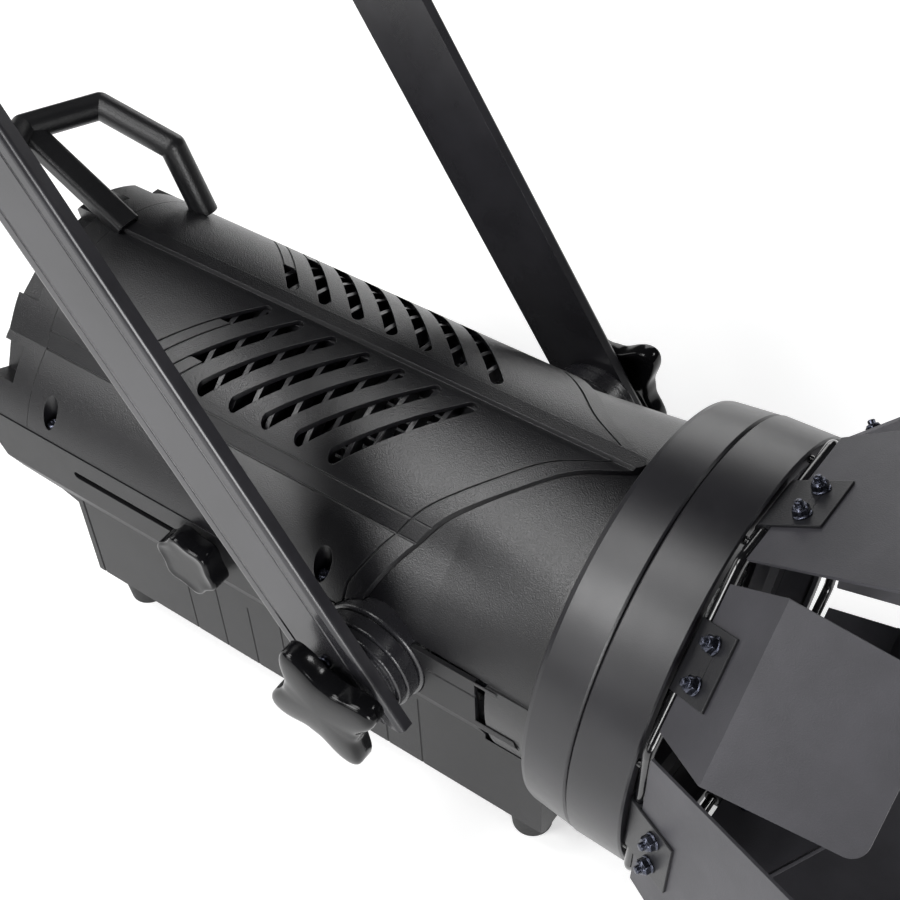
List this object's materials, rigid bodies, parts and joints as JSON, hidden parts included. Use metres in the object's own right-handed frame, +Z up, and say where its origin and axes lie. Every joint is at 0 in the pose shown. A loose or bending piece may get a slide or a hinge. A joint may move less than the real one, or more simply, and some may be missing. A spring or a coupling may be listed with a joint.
{
  "type": "stage spotlight",
  "caption": "Theatre stage spotlight with a vented casting, folding barn doors on a ring, a sliding focus knob and a tilting yoke.",
  "frame": {"origin": "middle of the whole object in plan, at the underside of its rubber feet", "axes": "+Z up, beam along -Y, X along the tilt axis with the focus knob on -X"},
  "size_m": [0.3244, 0.5802, 0.4404],
  "materials": {
    "textured_shell": "fine textured black powder coat on die-cast aluminium",
    "casing": "satin black textured powder coat",
    "ring": "smooth satin black paint on cast aluminium",
    "arm": "satin dark grey painted extrusion",
    "door_sheet": "matt black painted sheet steel",
    "hinge_strap": "satin black painted sheet steel",
    "black_rod": "glossy black painted steel rod",
    "handle_paint": "satin black painted steel",
    "frame_steel": "zinc plated sheet steel",
    "screw_steel": "dark zinc plated screws",
    "rail_steel": "ground steel rod",
    "hub": "moulded black nylon",
    "knob": "moulded black nylon, slightly glossy",
    "socket_plastic": "black nylon",
    "grille": "matt black baffle",
    "bare_aluminium": "bare extruded aluminium",
    "reflector_metal": "polished reflector",
    "bushing": "sintered bronze",
    "led": "yellow phosphor on a white board",
    "board": "green circuit board",
    "fan": "black fan plastic",
    "foot_rubber": "black rubber",
    "lens_glass": "clear pressed glass",
    "display_plastic": "dark display window"
  },
  "bodies": {
    "housing": {"upper_shell": "textured_shell", "vent_grilles": "grille", "lower_shell": "casing", "front_cowl": "textured_shell", "rear_cap": "textured_shell", "rear_handle": "handle_paint", "rear_panel": "casing", "power_sockets": "socket_plastic", "signal_sockets": "screw_steel", "display": "display_plastic", "rubber_feet": "foot_rubber", "housing_screws": "screw_steel", "chassis_frame": "frame_steel", "guide_rails": "rail_steel", "power_supply": "bare_aluminium", "driver_board": "board", "front_ring": "ring", "lens": "lens_glass", "lens_retainer": "ring", "pivot_hubs": "hub"},
    "focus_carriage": {"carriage_plate": "bare_aluminium", "carriage_bushings": "bushing", "heatsink": "bare_aluminium", "led_module": "led", "reflector": "reflector_metal", "fan_frame": "fan", "focus_stem": "screw_steel"},
    "fan_rotor": {"fan_rotor": "fan"},
    "focus_knob": {"focus_knob": "knob"},
    "yoke": {"yoke_arm_left": "arm", "yoke_arm_right": "arm", "yoke_crossbar": "arm", "arm_discs": "hub", "yoke_screws": "screw_steel"},
    "tilt_knob_left": {"tilt_knob_left": "knob"},
    "tilt_knob_right": {"tilt_knob_right": "knob"},
    "barn_door_ring": {"accessory_ring": "ring", "door_frame": "black_rod"},
    "menu_button_1": {"menu_button_1": "knob"},
    "menu_button_2": {"menu_button_2": "knob"},
    "menu_button_3": {"menu_button_3": "knob"},
    "menu_button_4": {"menu_button_4": "knob"},
    "right_door": {"right_door": "door_sheet", "right_door_hinge": "hinge_strap"},
    "upper_right_door": {"upper_right_door": "door_sheet", "upper_right_door_hinge": "hinge_strap"},
    "top_door": {"top_door": "door_sheet", "top_door_hinge": "hinge_strap"},
    "upper_left_door": {"upper_left_door": "door_sheet", "upper_left_door_hinge": "hinge_strap"},
    "left_door": {"left_door": "door_sheet", "left_door_hinge": "hinge_strap"},
    "lower_left_door": {"lower_left_door": "door_sheet", "lower_left_door_hinge": "hinge_strap"},
    "bottom_door": {"bottom_door": "door_sheet", "bottom_door_hinge": "hinge_strap"},
    "lower_right_door": {"lower_right_door": "door_sheet", "lower_right_door_hinge": "hinge_strap"}
  },
  "joints": [
    {"name": "yoke_tilt", "type": "hinge", "parent": "housing", "child": "yoke", "pos_m": [0, -0.01935, 0.122], "axis": [-1, 0, 0], "range_deg": [-78, 87]},
    {"name": "left_tilt_knob_turn", "type": "hinge", "parent": "yoke", "child": "tilt_knob_left", "pos_m": [-0.13, -0.01935, 0.122], "axis": [-1, 0, 0], "range_deg": [0, 360]},
    {"name": "right_tilt_knob_turn", "type": "hinge", "parent": "yoke", "child": "tilt_knob_right", "pos_m": [0.13, -0.01935, 0.122], "axis": [1, 0, 0], "range_deg": [0, 360]},
    {"name": "focus_slide", "type": "slide", "parent": "housing", "child": "focus_carriage", "axis": [0, 1, 0], "range_m": [-0.003, 0.093]},
    {"name": "focus_knob_turn", "type": "hinge", "parent": "focus_carriage", "child": "focus_knob", "pos_m": [-0.104, 0.09265, 0.125], "axis": [-1, 0, 0], "range_deg": [0, 360]},
    {"name": "fan_spin", "type": "hinge", "parent": "focus_carriage", "child": "fan_rotor", "pos_m": [0, 0.05325, 0.125], "axis": [0, 1, 0], "continuous": true},
    {"name": "barn_door_turn", "type": "hinge", "parent": "housing", "child": "barn_door_ring", "pos_m": [0, -0.15535, 0.125], "axis": [0, -1, 0], "continuous": true},
    {"name": "menu_button_1_press", "type": "slide", "parent": "housing", "child": "menu_button_1", "axis": [0, -1, 0], "range_m": [0, 0.0012], "stiffness_N_per_m": 400},
    {"name": "menu_button_2_press", "type": "slide", "parent": "housing", "child": "menu_button_2", "axis": [0, -1, 0], "range_m": [0, 0.0012], "stiffness_N_per_m": 400},
    {"name": "menu_button_3_press", "type": "slide", "parent": "housing", "child": "menu_button_3", "axis": [0, -1, 0], "range_m": [0, 0.0012], "stiffness_N_per_m": 400},
    {"name": "menu_button_4_press", "type": "slide", "parent": "housing", "child": "menu_button_4", "axis": [0, -1, 0], "range_m": [0, 0.0012], "stiffness_N_per_m": 400},
    {"name": "right_door_swing", "type": "hinge", "parent": "barn_door_ring", "child": "right_door", "pos_m": [0.10685, -0.17515, 0.11678], "axis": [-0.0767, 0, -0.9971], "range_deg": [-65, 25]},
    {"name": "upper_right_door_swing", "type": "hinge", "parent": "barn_door_ring", "child": "upper_right_door", "pos_m": [0.08137, -0.17515, 0.19474], "axis": [-0.6508, 0, 0.7593], "range_deg": [-57, 16]},
    {"name": "top_door_swing", "type": "hinge", "parent": "barn_door_ring", "child": "top_door", "pos_m": [0.00822, -0.17515, 0.23185], "axis": [0.9971, 0, -0.0767], "range_deg": [-61, 89]},
    {"name": "upper_left_door_swing", "type": "hinge", "parent": "barn_door_ring", "child": "upper_left_door", "pos_m": [-0.06974, -0.17515, 0.20637], "axis": [-0.7593, 0, -0.6508], "range_deg": [-57, 16]},
    {"name": "left_door_swing", "type": "hinge", "parent": "barn_door_ring", "child": "left_door", "pos_m": [-0.10685, -0.17515, 0.13322], "axis": [0.0767, 0, 0.9971], "range_deg": [-65, 25]},
    {"name": "lower_left_door_swing", "type": "hinge", "parent": "barn_door_ring", "child": "lower_left_door", "pos_m": [-0.08137, -0.17515, 0.05526], "axis": [0.6508, 0, -0.7593], "range_deg": [0, 13]},
    {"name": "bottom_door_swing", "type": "hinge", "parent": "barn_door_ring", "child": "bottom_door", "pos_m": [-0.00822, -0.17515, 0.01815], "axis": [-0.9971, 0, 0.0767], "range_deg": [-90, 0]},
    {"name": "lower_right_door_swing", "type": "hinge", "parent": "barn_door_ring", "child": "lower_right_door", "pos_m": [0.06974, -0.17515, 0.04363], "axis": [0.7593, 0, 0.6508], "range_deg": [0, 13]}
  ]
}
